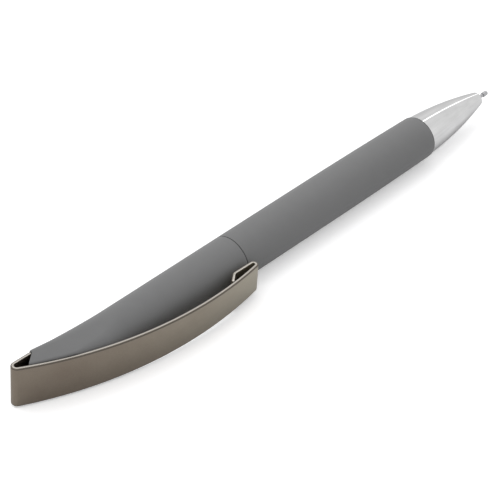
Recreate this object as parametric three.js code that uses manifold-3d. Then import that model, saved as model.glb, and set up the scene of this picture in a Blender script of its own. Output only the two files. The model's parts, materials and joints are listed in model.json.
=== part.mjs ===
// A twist-action ballpoint pen with a soft-touch metal barrel, a chrome nose and a bowed strap clip.
// Millimetres. The pen lies on a table: +X runs along it to the writing tip, +Z is up, the clip is at -Y.
// Inside the pen group x is measured along the barrel from the seam between its two halves, and
// "lift" is the distance from the barrel's axis towards the clip.
import * as THREE from 'three';
import { mergeVertices } from 'three/addons/utils/BufferGeometryUtils.js';
import Module from 'manifold-3d';

const wasm = await Module();
wasm.setup();

// Barrel
const BARREL_DIAMETER = 10.5;
const BARREL_BORE = 8.8;
const SEAM_GAP = 0.2;
const EDGE_BREAK = 0.08;
const FRONT_LENGTH = 61.5;
const FRONT_TAPER_LENGTH = 36.5;
const FRONT_RIM_DIAMETER = 9.9;

// Rear barrel: round at the seam, then drawn out to a flat-sided wedge that ends inside the clip's rear
// fold. The runs are the lengths over which its sides and corners change.
const REAR_BORE_DEPTH = 38;
const WEDGE_LENGTH = 23;
const FLANK_RUN = 8;
const BOW_SQUARE_RUN = 12.8;
const BACK_SQUARE_RUN = 20;
const BACK_SQUARE_EASE = 1.15;
const WEDGE_SETBACK = 0.53;
const WEDGE_END_TILT = 53;
const WEDGE_SQUARE_DEPTH = 3.12;
const WEDGE_BACK = 4.45;
const WEDGE_WIDTH = 10.2;
const WEDGE_BACK_CORNER = 1.25;
const WEDGE_BOW_CORNER = 0.5;
const WEDGE_WALL = 0.8;
const WEDGE_END_CHAMFER = 0.2;
const WEDGE_CHAMFER_ANGLE = 8;
const SECTION_STEP = 2;
const POCKET_LENGTH = 11;
const POCKET_WIDTH = 8;

// Clip: one bent strap
const CLIP_THICKNESS = 0.65;
const CLIP_FRONT_WIDTH = 6.8;
const CLIP_REAR_WIDTH = 9.9;
const BOW_RADIUS = 89.3;
const BOW_HEIGHT = 9.45;
const BOW_SETBACK = 15.75;
const LEG_LIFT = 4.03;
const REAR_FOLD_RADIUS = 1.3;
const FRONT_FOLD_RADIUS = 1.04;
const RETURN_GAP = 0.85;
const RETURN_LENGTH = 4.8;
const LIP_BEND_RADIUS = 1.05;
const LIP_ANGLE = 37;
const LIP_GAP = 0.15;
const CLIP_SPLIT = 0.3;
const CLIP_SPLIT_ANGLE = 225;
const CLIP_CLEARANCE = 0.25;
const TONGUE_WIDTH = 7.4;
const TONGUE_SHOULDER_GAP = 0.1;
const TONGUE_END_GAP = 0.5;
const STAKE_DIAMETER = 1.6;
const STAKE_SPACING = 3;
const STAKE_SETBACK = 1.9;
const ANCHOR_RECESS = 0.3;

// Nose
const NOSE_LENGTH = 21.4;
const NOSE_BASE_DIAMETER = 9.5;
const NOSE_CURVE_RADIUS = 105;
const NOSE_END_DIAMETER = 3.2;
const NOSE_HOLE_DIAMETER = 2.5;
const NOSE_TAIL_DIAMETER = 7.4;
const NOSE_TAIL_LENGTH = 7;
const NOSE_BUSH_LENGTH = 9;
const NOSE_RIM_CHAMFER = 0.2;
const SPRING_SEAT_SETBACK = 7.3;
const THROAT_LENGTH = 3.8;

// Refill: its rear end stands behind the seam, and its length of 98 follows from that
const REFILL_SETBACK = 11.4;
const REFILL_DIAMETER = 5.9;
const REFILL_WALL = 0.35;
const REFILL_NECK_SETBACK = 22;
const REFILL_NECK_DIAMETER = 3.2;
const POINT_OUT = 3.7;
const POINT_DIAMETER = 2.2;
const POINT_LENGTH = 9;
const POINT_TAIL_LENGTH = 4;
const POINT_NECK_SETBACK = 2.4;
const POINT_NECK_LENGTH = 0.7;
const POINT_CONE_LENGTH = 1.4;
const POINT_NECK_DIAMETER = 0.8;
const POINT_COLLAR_DIAMETER = 1.15;
const POINT_CHAMFER = 0.12;
const INK_CHANNEL_DIAMETER = 0.4;
const BALL_DIAMETER = 0.7;
const BALL_OUT = 0.22;
const CROWN_HEAD = 2.8;
const CROWN_PLUG = 4;
const CROWN_VENT_DIAMETER = 0.8;
const FOLLOWER_LENGTH = 5;
const AIR_LENGTH = 11.65;

// Return spring
const SPRING_WIRE = 0.4;
const SPRING_DIAMETER = 4.7;
const SPRING_TURNS = 9;
const SPRING_END_PITCH = 0.44;

// Twist mechanism: half a turn of the rear half moves the refill by the travel
const TRAVEL = 4.6;
const TWIST = 180;
const COUPLING_LENGTH = 14;
const SPIGOT_LENGTH = 12;
const REAR_BUSH_WALL = 0.35;
const ROTOR_WALL = 0.45;
const ROTOR_LENGTH = 17;
const GUIDE_WALL = 0.35;
const GUIDE_INSERT = 5.5;
const GUIDE_LIP = 0.8;
const SLIDER_LENGTH = 12;
const PIN_DIAMETER = 1.2;
const PIN_SETBACK = 8;
const O_RING_WIRE = 0.54;
const O_RING_SETBACK = 3;
const O_RING_GROOVE_WIDTH = 0.8;
const RETAINER_THICKNESS = 0.6;
const RETAINER_WIDTH = 0.5;
const CAP_THICKNESS = 1.6;

// Fits: gaps measured on the radius, and end gaps along the barrel
const FIXED_FIT = 0.05;
const RUNNING_FIT = 0.08;
const SLIDING_FIT = 0.1;
const O_RING_FIT = 0.03;
const END_GAP = 0.3;
const SEAT_GAP = 0.1;

// Facets round a full turn
const SHELL_FACETS = 60;
const INNER_FACETS = 32;
const REFILL_FACETS = 24;
const SMALL_FACETS = 16;

// How far cutting tools run past the solids they cut, and how near two vertices are joined
const OVERRUN = 1;
const WELD = 1e-5;

const finish = (color, roughness, metalness) => ({ color, roughness, metalness });
const SOFT_TOUCH = finish(0x747577, 0.62, 0.0);
const CHROME = finish(0xd6d7d9, 0.12, 1.0);
const STRAP_METAL = finish(0x8b8276, 0.34, 1.0);
const BRASS = finish(0xb89a56, 0.35, 1.0);
const STEEL = finish(0xb4b6b9, 0.3, 1.0);
const BLACK_PLASTIC = finish(0x101011, 0.5, 0.0);
const WHITE_PLASTIC = finish(0xe4e3de, 0.45, 0.0);
const RUBBER = finish(0x1b1b1c, 0.8, 0.0);
const INK = finish(0x14203f, 0.4, 0.0);
const GREASE = finish(0xcfd0b8, 0.5, 0.0);
const CARBIDE = finish(0x56585c, 0.25, 1.0);

const radians = THREE.MathUtils.degToRad;
const degrees = THREE.MathUtils.radToDeg;
const barrelRadius = BARREL_DIAMETER / 2;
const boreRadius = BARREL_BORE / 2;
const frontEnd = FRONT_LENGTH;
const noseEnd = frontEnd + NOSE_LENGTH;
const pointEnd = noseEnd + POINT_OUT;
const refillRear = -REFILL_SETBACK;
const refillRadius = REFILL_DIAMETER / 2;
const refillBore = refillRadius - REFILL_WALL;
const neckRadius = REFILL_NECK_DIAMETER / 2;
const neckStart = pointEnd - REFILL_NECK_SETBACK;
const neckEnd = pointEnd - POINT_LENGTH;
const refillChannel = refillRadius + SLIDING_FIT;
const springSeat = noseEnd - SPRING_SEAT_SETBACK;
const springRadius = SPRING_DIAMETER / 2;
const strapHalf = CLIP_THICKNESS / 2;

// The mechanism's tubes, from the refill outwards
const guideInner = refillChannel;
const guideOuter = guideInner + GUIDE_WALL;
const rotorInner = guideOuter + RUNNING_FIT;
const rotorOuter = rotorInner + ROTOR_WALL;
const bushOuter = boreRadius - FIXED_FIT;
const bushInner = bushOuter - REAR_BUSH_WALL;
const spigotRadius = bushInner - RUNNING_FIT;
const rotorFront = -SPIGOT_LENGTH - END_GAP;
const rotorRear = rotorFront - ROTOR_LENGTH;
const retainerFront = rotorRear - END_GAP;
const guideRear = retainerFront - RETAINER_THICKNESS - GUIDE_LIP;
const sliderFront = refillRear - SEAT_GAP;
const pinPlace = sliderFront - PIN_SETBACK;
const pinSlot = PIN_DIAMETER / 2 + SLIDING_FIT;

// Solid whose shared vertices are merged and whose flat triangles are gone
function toManifold(geometry) {
  const bare = geometry.clone();
  bare.deleteAttribute('normal');
  bare.deleteAttribute('uv');
  const merged = mergeVertices(bare, WELD);
  const index = merged.index.array;
  const kept = [];
  for (let i = 0; i < index.length; i += 3) {
    const [a, b, c] = [index[i], index[i + 1], index[i + 2]];
    if (a !== b && b !== c && c !== a) {
      kept.push(a, b, c);
    }
  }
  return new wasm.Manifold(new wasm.Mesh({
    numProp: 3,
    vertProperties: new Float32Array(merged.attributes.position.array),
    triVerts: new Uint32Array(kept),
  }));
}

function toGeometry(manifold) {
  const mesh = manifold.getMesh();
  const geometry = new THREE.BufferGeometry();
  geometry.setAttribute('position', new THREE.BufferAttribute(mesh.vertProperties, 3));
  geometry.setIndex(new THREE.BufferAttribute(mesh.triVerts, 1));
  geometry.computeVertexNormals();
  return geometry;
}

// Body with tools cut out of it; bodies and tools are geometries
function cut(body, ...tools) {
  let result = toManifold(body);
  for (const tool of tools) {
    result = result.subtract(toManifold(tool));
  }
  return toGeometry(result);
}

function joined(body, ...others) {
  let result = toManifold(body);
  for (const other of others) {
    result = result.add(toManifold(other));
  }
  return toGeometry(result);
}

// Solid of revolution about the barrel's axis. The profile is a list of [x, radius], counter-clockwise
// with x to the right, and is closed by itself or by the axis.
function turned(profile, facets = INNER_FACETS) {
  const points = profile.map(([x, radius]) => new THREE.Vector2(radius, x)).reverse();
  const onAxis = profile[0][1] === 0 && profile[profile.length - 1][1] === 0;
  if (!onAxis) {
    points.push(points[0].clone());
  }
  const geometry = new THREE.LatheGeometry(points, facets);
  geometry.rotateZ(-Math.PI / 2);
  return geometry;
}

function rod(from, to, radius, facets = INNER_FACETS) {
  return turned([[to, 0], [to, radius], [from, radius], [from, 0]], facets);
}

function tube(from, to, inner, outer, facets = INNER_FACETS) {
  return turned([[from, inner], [to, inner], [to, outer], [from, outer]], facets);
}

// Points from angle a to angle b on a circle in the plane of x and lift
function arc(centre, radius, from, to, steps) {
  const points = [];
  for (let i = 0; i <= steps; i += 1) {
    const angle = radians(from + ((to - from) * i) / steps);
    points.push(new THREE.Vector2(
      centre.x + radius * Math.cos(angle),
      centre.y + radius * Math.sin(angle),
    ));
  }
  return points;
}

// Closed skin over a row of rings. Each ring has the same number of points and runs
// counter-clockwise as seen from where the row ends.
function loft(rings) {
  const count = rings[0].length;
  const positions = rings.flat().flatMap((point) => [point.x, point.y, point.z]);
  const index = [];
  for (let ring = 0; ring < rings.length - 1; ring += 1) {
    for (let side = 0; side < count; side += 1) {
      const next = (side + 1) % count;
      const [a, b] = [ring * count + side, ring * count + next];
      const [c, d] = [a + count, b + count];
      index.push(a, b, d, a, d, c);
    }
  }
  const last = (rings.length - 1) * count;
  for (let side = 1; side < count - 1; side += 1) {
    index.push(0, side + 1, side);
    index.push(last, last + side, last + side + 1);
  }
  const geometry = new THREE.BufferGeometry();
  geometry.setAttribute('position', new THREE.Float32BufferAttribute(positions, 3));
  geometry.setIndex(index);
  geometry.computeVertexNormals();
  return geometry;
}

// Plate whose outline lies in the plane of x and lift, and whose width follows x
function plate(outline, widthAt) {
  const shape = new THREE.Shape(outline.map((point) => new THREE.Vector2(point.x, -point.y)));
  const geometry = new THREE.ExtrudeGeometry(shape, { depth: 1, bevelEnabled: false });
  const position = geometry.attributes.position;
  for (let i = 0; i < position.count; i += 1) {
    position.setZ(i, (position.getZ(i) - 0.5) * widthAt(position.getX(i)));
  }
  return geometry;
}

// Pin across the barrel: along y, or along z where it is turned
function crossPin(x, radius, length, alongZ, facets = SMALL_FACETS) {
  const geometry = new THREE.CylinderGeometry(radius, radius, length, facets);
  if (alongZ) {
    geometry.rotateX(Math.PI / 2);
  }
  return geometry.translate(x, 0, 0);
}

// Clip layout
const bowCentre = new THREE.Vector2(-BOW_SETBACK, BOW_HEIGHT - BOW_RADIUS);
const bowInnerRadius = BOW_RADIUS - CLIP_THICKNESS;
const bowAngle = (centre) => degrees(centre.clone().sub(bowCentre).angle());
// Where a fold of the given radius and lift touches the bow from inside; side is -1 behind the crest
function foldCentre(lift, radius, side) {
  const rise = lift - bowCentre.y;
  const reach = BOW_RADIUS - radius;
  return new THREE.Vector2(bowCentre.x + side * Math.sqrt(reach * reach - rise * rise), lift);
}
const rearFold = foldCentre(REAR_FOLD_RADIUS - LEG_LIFT, REAR_FOLD_RADIUS, -1);
const frontFold = foldCentre(barrelRadius + RETURN_GAP + FRONT_FOLD_RADIUS, FRONT_FOLD_RADIUS, 1);

// Lift of the strap's inner face at x
function bowInnerLift(x) {
  const along = x - bowCentre.x;
  return bowCentre.y + Math.sqrt(bowInnerRadius * bowInnerRadius - along * along);
}

function clipWidth(x) {
  return THREE.MathUtils.mapLinear(x, 0, rearFold.x, CLIP_FRONT_WIDTH, CLIP_REAR_WIDTH);
}

// Strap bent through clockwise arcs, given by their mid-line, with a straight run at either end
function bentStrap(arcs, leadRun, endRun) {
  const outer = [];
  const inner = [];
  for (const { centre, radius, from, to, steps } of arcs) {
    outer.push(...arc(centre, radius + strapHalf, from, to, steps));
    inner.push(...arc(centre, radius - strapHalf, from, to, steps));
  }
  for (const side of [outer, inner]) {
    if (leadRun) {
      side.unshift(side[0].clone().add(leadRun));
    }
    if (endRun) {
      side.push(side[side.length - 1].clone().add(endRun));
    }
  }
  return [...outer, ...inner.reverse()];
}

const splitHalfAngle = degrees(CLIP_SPLIT / 2 / (REAR_FOLD_RADIUS - strapHalf));
const rearFoldArc = (from, to, steps) => (
  { centre: rearFold, radius: REAR_FOLD_RADIUS - strapHalf, from, to, steps }
);

function clipArm() {
  const returnLift = barrelRadius + RETURN_GAP + strapHalf;
  const bend = new THREE.Vector2(frontFold.x - RETURN_LENGTH, returnLift + LIP_BEND_RADIUS);
  const [rearAngle, frontAngle] = [bowAngle(rearFold), bowAngle(frontFold)];
  const frontRadius = FRONT_FOLD_RADIUS - strapHalf;
  const arcs = [
    rearFoldArc(CLIP_SPLIT_ANGLE - splitHalfAngle, rearAngle, 7),
    { centre: bowCentre, radius: BOW_RADIUS - strapHalf, from: rearAngle, to: frontAngle, steps: 22 },
    { centre: frontFold, radius: frontRadius, from: frontAngle, to: -90, steps: 10 },
    { centre: bend, radius: LIP_BEND_RADIUS, from: -90, to: -90 - LIP_ANGLE, steps: 4 },
  ];
  const start = arc(bend, LIP_BEND_RADIUS, -90 - LIP_ANGLE, -90, 1)[0].sub(bowCentre);
  const heading = new THREE.Vector2(-Math.cos(radians(LIP_ANGLE)), Math.sin(radians(LIP_ANGLE)));
  const reach = bowInnerRadius - LIP_GAP - strapHalf * Math.cos(radians(LIP_ANGLE));
  const along = start.dot(heading);
  const run = Math.sqrt(along * along + reach * reach - start.lengthSq()) - along;
  return plate(bentStrap(arcs, null, heading.multiplyScalar(run)), clipWidth);
}

// Rear barrel's outer skin, from the clip's rear fold forwards
const wedgeRear = rearFold.x + WEDGE_SETBACK;
const wedgeFront = wedgeRear + WEDGE_LENGTH;
const pocketFront = wedgeRear + POCKET_LENGTH;
const wedgeBow = (x) => Math.min(barrelRadius, bowInnerLift(x) - CLIP_CLEARANCE);

// Value that starts at the barrel's radius where the barrel is round and reaches the given end
function drawnOut(x, run, end, ease = 1) {
  const share = THREE.MathUtils.clamp((wedgeFront - x) / run, 0, 1);
  return THREE.MathUtils.lerp(barrelRadius, end, share ** ease);
}

// Section of a round bar that turns into a rectangle with rounded corners
function wedgeSection(x) {
  return {
    back: drawnOut(x, WEDGE_LENGTH, WEDGE_BACK),
    bow: wedgeBow(x),
    halfWidth: drawnOut(x, FLANK_RUN, WEDGE_WIDTH / 2),
    backCorner: drawnOut(x, BACK_SQUARE_RUN, WEDGE_BACK_CORNER, BACK_SQUARE_EASE),
    bowCorner: drawnOut(x, BOW_SQUARE_RUN, WEDGE_BOW_CORNER),
  };
}

function barrelRing(x) {
  const { back, bow, halfWidth, backCorner, bowCorner } = wedgeSection(x);
  const corners = [
    { y: back - backCorner, z: halfWidth - backCorner, radius: backCorner },
    { y: -(bow - bowCorner), z: halfWidth - bowCorner, radius: bowCorner },
    { y: -(bow - bowCorner), z: -(halfWidth - bowCorner), radius: bowCorner },
    { y: back - backCorner, z: -(halfWidth - backCorner), radius: backCorner },
  ];
  const steps = SHELL_FACETS / 4;
  const ring = [];
  corners.forEach((corner, quarter) => {
    for (let step = 0; step < steps; step += 1) {
      const angle = ((quarter + (step + 0.5) / steps) * Math.PI) / 2;
      ring.push(new THREE.Vector3(
        x,
        corner.y + corner.radius * Math.cos(angle),
        corner.z + corner.radius * Math.sin(angle),
      ));
    }
  });
  return ring;
}

// Box that starts at a plane square to the sides and reaches outwards at the given angle
function beyond(x, y, angle) {
  const size = 2 * BOW_RADIUS;
  return new THREE.BoxGeometry(size, size, size)
    .translate(size / 2, 0, 0)
    .rotateZ(radians(angle))
    .translate(x, y, 0);
}

// Everything behind the slant of the rear end, drawn in by an inset
function behindEnd(inset) {
  return beyond(wedgeRear + inset / Math.cos(radians(WEDGE_END_TILT)), 0, 180 - WEDGE_END_TILT);
}

// Rear end: it slants forwards down to the clip's leg, and from there to the barrel's back it stands square
const slantedEndAt = (y) => wedgeRear + y * Math.tan(radians(WEDGE_END_TILT));
const squareEnd = slantedEndAt(WEDGE_SQUARE_DEPTH);

function behindWholeEnd() {
  const side = 2 * barrelRadius;
  const rear = slantedEndAt(-side);
  const outline = [[squareEnd, -side], [rear, -side], [rear, side], [squareEnd, -WEDGE_SQUARE_DEPTH]];
  return plate(outline.map(([x, lift]) => new THREE.Vector2(x, lift)), () => 2 * side);
}

// Block under the bow, between the wedge's back and its bow side
function wedgeBlock(front, backDepth, bowInset, width) {
  const rear = wedgeRear;
  const steps = 8;
  const outline = [new THREE.Vector2(front, -backDepth), new THREE.Vector2(rear, -backDepth)];
  for (let i = 0; i <= steps; i += 1) {
    const x = THREE.MathUtils.lerp(rear, front, i / steps);
    outline.push(new THREE.Vector2(x, wedgeBow(x) - bowInset));
  }
  return plate(outline, () => width);
}

function rearBarrel() {
  const front = -SEAM_GAP / 2;
  const crest = bowCentre.x - Math.sqrt(
    bowInnerRadius ** 2 - (barrelRadius + CLIP_CLEARANCE - bowCentre.y) ** 2,
  );
  const places = [];
  for (let x = wedgeRear - OVERRUN; x < wedgeFront; x += SECTION_STEP) {
    if (Math.abs(x - crest) > SECTION_STEP / 3) {
      places.push(x);
    }
  }
  places.push(crest, wedgeFront, front);
  places.sort((a, b) => a - b);
  const skin = loft(places.map(barrelRing));
  const chamferStart = wedgeSection(squareEnd).back - WEDGE_END_CHAMFER;
  return cut(
    skin,
    rod(-REAR_BORE_DEPTH, OVERRUN, boreRadius, SHELL_FACETS),
    wedgeBlock(pocketFront, LEG_LIFT + FIXED_FIT, WEDGE_WALL, POCKET_WIDTH),
    behindWholeEnd(),
    beyond(squareEnd, chamferStart, 90 + WEDGE_CHAMFER_ANGLE),
  );
}

// Shoulders where the clip's leg narrows to the tongue inside the barrel, and the stakes through it
const legShoulder = squareEnd - TONGUE_SHOULDER_GAP;
const tongueFront = pocketFront - TONGUE_END_GAP;
const stakePlaces = [0, 1].map((place) => tongueFront - STAKE_SETBACK - place * STAKE_SPACING);

function clipRoot() {
  const lead = new THREE.Vector2(legShoulder - rearFold.x, 0);
  const fold = rearFoldArc(270, CLIP_SPLIT_ANGLE + splitHalfAngle, 4);
  const leg = plate(bentStrap([fold], lead, null), clipWidth);
  const rear = legShoulder - CLIP_THICKNESS;
  const tongue = new THREE.BoxGeometry(tongueFront - rear, CLIP_THICKNESS, TONGUE_WIDTH);
  tongue.translate((tongueFront + rear) / 2, LEG_LIFT - strapHalf, 0);
  const holes = stakePlaces.map((x) => (
    crossPin(x, STAKE_DIAMETER / 2 + FIXED_FIT, 3 * CLIP_THICKNESS, false).translate(0, LEG_LIFT, 0)
  ));
  return cut(joined(leg, tongue), ...holes);
}

function clipAnchor() {
  const seat = LEG_LIFT - CLIP_THICKNESS - FIXED_FIT;
  const width = POCKET_WIDTH - 2 * FIXED_FIT;
  const block = wedgeBlock(pocketFront - SEAT_GAP, seat, WEDGE_WALL + FIXED_FIT, width);
  const height = CLIP_THICKNESS * 2;
  const stakes = stakePlaces.map((x) => (
    crossPin(x, STAKE_DIAMETER / 2, height, false).translate(0, LEG_LIFT - height / 2, 0)
  ));
  return cut(joined(block, ...stakes), behindEnd(ANCHOR_RECESS));
}

function frontBarrel() {
  const start = SEAM_GAP / 2;
  const rim = FRONT_RIM_DIAMETER / 2;
  const taperStart = frontEnd - FRONT_TAPER_LENGTH;
  const steps = 6;
  const taper = [];
  for (let i = 0; i <= steps; i += 1) {
    const share = (i / steps) * (1 - EDGE_BREAK / FRONT_TAPER_LENGTH);
    taper.push([taperStart + FRONT_TAPER_LENGTH * share, barrelRadius - (barrelRadius - rim) * share ** 2]);
  }
  return turned([
    [start, boreRadius],
    [frontEnd, boreRadius],
    [frontEnd, rim - EDGE_BREAK],
    ...taper.reverse(),
    [start + EDGE_BREAK, barrelRadius],
    [start, barrelRadius - EDGE_BREAK],
  ], SHELL_FACETS);
}

// Points of the nose's outline from base to rim: one arc of the given radius
function noseCurve(from, to) {
  const chord = to.clone().sub(from);
  const depth = Math.sqrt(NOSE_CURVE_RADIUS ** 2 - chord.lengthSq() / 4);
  const centre = from.clone().add(to).multiplyScalar(0.5);
  centre.add(new THREE.Vector2(chord.y, -chord.x).setLength(depth));
  const start = degrees(from.clone().sub(centre).angle());
  const end = degrees(to.clone().sub(centre).angle());
  return arc(centre, NOSE_CURVE_RADIUS, start, end, 10).map((point) => [point.x, point.y]);
}

function noseCone() {
  const base = frontEnd + FIXED_FIT;
  const tailRear = frontEnd - NOSE_TAIL_LENGTH;
  const tailRadius = NOSE_TAIL_DIAMETER / 2;
  const holeRadius = NOSE_HOLE_DIAMETER / 2;
  const endRadius = NOSE_END_DIAMETER / 2;
  const springBore = springRadius + 2 * SLIDING_FIT;
  const throat = neckRadius + 2 * SLIDING_FIT;
  const wideEnd = neckStart + SEAT_GAP;
  const throatEnd = springSeat + THROAT_LENGTH;
  const skin = noseCurve(
    new THREE.Vector2(base, NOSE_BASE_DIAMETER / 2),
    new THREE.Vector2(noseEnd - NOSE_RIM_CHAMFER, endRadius),
  );
  return turned([
    [tailRear, refillChannel],
    [wideEnd, refillChannel],
    [wideEnd, springBore],
    [springSeat, springBore],
    [springSeat, throat],
    [throatEnd, throat],
    [throatEnd + throat - holeRadius, holeRadius],
    [noseEnd, holeRadius],
    [noseEnd, endRadius - NOSE_RIM_CHAMFER],
    ...skin.reverse(),
    [base, tailRadius],
    [tailRear, tailRadius],
  ], SHELL_FACETS);
}

function noseBush() {
  const rear = frontEnd - NOSE_BUSH_LENGTH;
  return tube(rear, frontEnd - END_GAP, NOSE_TAIL_DIAMETER / 2 + FIXED_FIT, bushOuter);
}

// Sleeve in the front barrel with a spigot that the rear half turns on
const oRingOuter = bushInner - O_RING_FIT;
const grooveRadius = oRingOuter - O_RING_WIRE - O_RING_FIT;

function frontCoupling() {
  const shoulder = SEAM_GAP / 2 + END_GAP;
  const insertFront = -SPIGOT_LENGTH + GUIDE_INSERT;
  const grooveFront = O_RING_GROOVE_WIDTH / 2 - O_RING_SETBACK;
  const grooveRear = -O_RING_GROOVE_WIDTH / 2 - O_RING_SETBACK;
  return turned([
    [-SPIGOT_LENGTH, guideOuter + FIXED_FIT],
    [insertFront, guideOuter + FIXED_FIT],
    [insertFront, refillChannel],
    [COUPLING_LENGTH, refillChannel],
    [COUPLING_LENGTH, bushOuter],
    [shoulder, bushOuter],
    [shoulder, spigotRadius],
    [grooveFront, spigotRadius],
    [grooveFront, grooveRadius],
    [grooveRear, grooveRadius],
    [grooveRear, spigotRadius],
    [-SPIGOT_LENGTH, spigotRadius],
  ]);
}

function frictionRing() {
  const middle = oRingOuter - O_RING_WIRE / 2;
  return new THREE.TorusGeometry(middle, O_RING_WIRE / 2, SMALL_FACETS / 2, INNER_FACETS)
    .rotateY(Math.PI / 2)
    .translate(-O_RING_SETBACK, 0, 0);
}

function guideSleeve() {
  const front = -SPIGOT_LENGTH + GUIDE_INSERT - SEAT_GAP;
  const slotLength = TRAVEL + 2 * pinSlot;
  const slot = new THREE.BoxGeometry(slotLength, 2 * pinSlot, 3 * guideOuter);
  slot.translate(pinPlace - TRAVEL / 2, 0, 0);
  return cut(tube(guideRear, front, guideInner, guideOuter), slot);
}

function retainingRing() {
  const inner = guideOuter + FIXED_FIT;
  return tube(retainerFront - RETAINER_THICKNESS, retainerFront, inner, inner + RETAINER_WIDTH);
}

function rearBush() {
  const front = -SEAM_GAP / 2 - END_GAP;
  return tube(rotorRear, front, bushInner, bushOuter);
}

// Cutter for one helical slot: the way of the pin as the rotor turns through the whole twist
function helicalSlot(startAngle) {
  const margin = pinSlot / rotorInner;
  const twist = radians(TWIST);
  const rise = TRAVEL / twist;
  const halfWidth = pinSlot * Math.hypot(1, rise / rotorInner);
  const steps = 22;
  const rings = [];
  for (let i = 0; i <= steps; i += 1) {
    const turn = THREE.MathUtils.lerp(-margin, twist + margin, i / steps);
    const angle = startAngle + turn;
    const x = pinPlace - rise * turn;
    const [inside, outside] = [rotorInner - OVERRUN, rotorOuter + OVERRUN];
    const ends = [-halfWidth, halfWidth, halfWidth, -halfWidth];
    rings.push([inside, inside, outside, outside].map((radius, corner) => (
      new THREE.Vector3(x + ends[corner], radius * Math.cos(angle), radius * Math.sin(angle))
    )));
  }
  return loft(rings);
}

function camRotor() {
  const body = tube(rotorRear, rotorFront, rotorInner, rotorOuter);
  return cut(body, helicalSlot(Math.PI / 2), helicalSlot(-Math.PI / 2));
}

function rotorCap() {
  const front = guideRear - END_GAP;
  return rod(front - CAP_THICKNESS, front, bushOuter);
}

function slider() {
  const body = rod(sliderFront - SLIDER_LENGTH, sliderFront, guideInner - RUNNING_FIT);
  return cut(body, crossPin(pinPlace, PIN_DIAMETER / 2 + FIXED_FIT, 2 * rotorOuter, true));
}

function sliderPin() {
  return crossPin(0, PIN_DIAMETER / 2, 2 * (rotorOuter - SEAT_GAP), true);
}

const crownFront = refillRear + CROWN_HEAD;

function refillTube() {
  const shoulderInside = neckStart - REFILL_WALL;
  return turned([
    [crownFront + SEAT_GAP, refillBore],
    [shoulderInside, refillBore],
    [shoulderInside, neckRadius - REFILL_WALL],
    [neckEnd - SEAT_GAP, neckRadius - REFILL_WALL],
    [neckEnd - SEAT_GAP, neckRadius],
    [neckStart, neckRadius],
    [neckStart, refillRadius],
    [crownFront + SEAT_GAP, refillRadius],
  ]);
}

function refillCrown() {
  const plugRadius = refillBore - FIXED_FIT;
  return turned([
    [refillRear, CROWN_VENT_DIAMETER / 2],
    [crownFront + CROWN_PLUG, CROWN_VENT_DIAMETER / 2],
    [crownFront + CROWN_PLUG, plugRadius],
    [crownFront, plugRadius],
    [crownFront, refillRadius],
    [refillRear, refillRadius],
  ], REFILL_FACETS);
}

const tailRear = neckEnd - POINT_TAIL_LENGTH;
const followerFront = crownFront + CROWN_PLUG + AIR_LENGTH + FOLLOWER_LENGTH;
const inkFront = neckStart - REFILL_WALL - SEAT_GAP;
const inkRear = followerFront + SEAT_GAP;

function inkColumn() {
  const wide = refillBore - FIXED_FIT;
  const narrow = neckRadius - REFILL_WALL - FIXED_FIT;
  return turned([
    [tailRear - SEAT_GAP, 0],
    [tailRear - SEAT_GAP, narrow],
    [inkFront, narrow],
    [inkFront, wide],
    [inkRear, wide],
    [inkRear, 0],
  ], REFILL_FACETS);
}

function inkFollower() {
  return rod(followerFront - FOLLOWER_LENGTH, followerFront, refillBore - FIXED_FIT, REFILL_FACETS);
}

const ballRadius = BALL_DIAMETER / 2;
const ballPlace = pointEnd - ballRadius;

function refillPoint() {
  const channel = INK_CHANNEL_DIAMETER / 2;
  const socket = ballRadius + O_RING_FIT;
  const rim = pointEnd - BALL_OUT;
  const lip = Math.sqrt(ballRadius ** 2 - (rim - ballPlace) ** 2) + O_RING_FIT;
  const neckRear = pointEnd - POINT_NECK_SETBACK;
  const collar = POINT_COLLAR_DIAMETER / 2;
  const neck = POINT_NECK_DIAMETER / 2;
  const collarRear = neckRear + POINT_NECK_LENGTH;
  return turned([
    [tailRear, channel],
    [ballPlace - socket - SEAT_GAP, channel],
    [ballPlace - ballRadius / 2, socket],
    [rim - SEAT_GAP / 2, socket],
    [rim, lip],
    [rim, collar - POINT_CHAMFER],
    [rim - POINT_CHAMFER, collar],
    [collarRear + POINT_CHAMFER, collar],
    [collarRear, neck],
    [neckRear, neck],
    [neckRear - POINT_CONE_LENGTH, POINT_DIAMETER / 2],
    [neckEnd, POINT_DIAMETER / 2],
    [neckEnd, neckRadius - REFILL_WALL - FIXED_FIT],
    [tailRear, neckRadius - REFILL_WALL - FIXED_FIT],
  ], SMALL_FACETS);
}

// Wound spring with one closed turn at each end, between the refill's shoulder and its seat in the nose
function returnSpring() {
  const wire = SPRING_WIRE / 2;
  const start = neckStart + SEAT_GAP + wire;
  const end = springSeat - SEAT_GAP - wire;
  const pitch = (end - start - 2 * SPRING_END_PITCH) / (SPRING_TURNS - 2);
  const stepsPerTurn = 8;
  const sides = 5;
  const rings = [];
  for (let i = 0; i <= SPRING_TURNS * stepsPerTurn; i += 1) {
    const turns = i / stepsPerTurn;
    const opened = THREE.MathUtils.clamp(turns - 1, 0, SPRING_TURNS - 2);
    const x = start + SPRING_END_PITCH * (turns - opened) + pitch * opened;
    const angle = 2 * Math.PI * turns;
    const ring = [];
    for (let side = 0; side < sides; side += 1) {
      const round = (2 * Math.PI * side) / sides;
      const radius = springRadius - wire + wire * Math.sin(round);
      ring.push(new THREE.Vector3(
        x + wire * Math.cos(round),
        radius * Math.cos(angle),
        radius * Math.sin(angle),
      ));
    }
    rings.push(ring);
  }
  return loft(rings);
}

function named(name, geometry, look) {
  const mesh = new THREE.Mesh(geometry, new THREE.MeshStandardMaterial(look));
  mesh.name = name;
  return mesh;
}

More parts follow.
